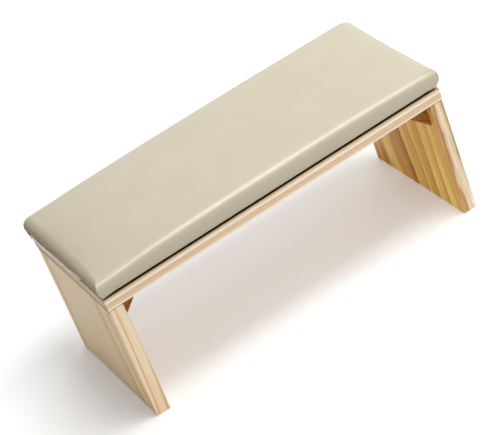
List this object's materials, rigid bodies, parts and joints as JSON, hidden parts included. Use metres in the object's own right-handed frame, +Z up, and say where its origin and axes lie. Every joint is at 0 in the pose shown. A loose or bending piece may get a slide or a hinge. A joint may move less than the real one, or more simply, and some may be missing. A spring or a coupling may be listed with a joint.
{
  "type": "kneeling bench",
  "caption": "Low kneeling bench: an upholstered beige cushion on a pine seat board, carried by panel legs with glued corner blocks.",
  "frame": {"origin": "On the floor under the middle of the bench.", "axes": "+X along the bench's length, +Z up; the long front edge faces -Y."},
  "size_m": [0.468, 0.198, 0.2038],
  "materials": {
    "pine": "planed, clear satin",
    "block_wood": "sawn, dark",
    "plywood": "raw",
    "faux_leather": "smooth satin",
    "foam": "open cell foam",
    "black_cloth": "matt non-woven",
    "steel": "zinc plated"
  },
  "bodies": {
    "root": {"seat_board": "pine", "left_leg": "pine", "right_leg": "pine", "left_corner_block": "block_wood", "right_corner_block": "block_wood", "cushion_cover": "faux_leather", "cushion_foam": "foam", "cushion_base_board": "plywood", "cushion_underlay": "black_cloth", "left_leg_screw_1": "steel", "left_leg_screw_2": "steel", "left_leg_screw_3": "steel", "right_leg_screw_1": "steel", "right_leg_screw_2": "steel", "right_leg_screw_3": "steel", "cushion_screw_1": "steel", "cushion_screw_2": "steel", "cushion_screw_3": "steel", "cushion_screw_4": "steel"}
  },
  "joints": []
}
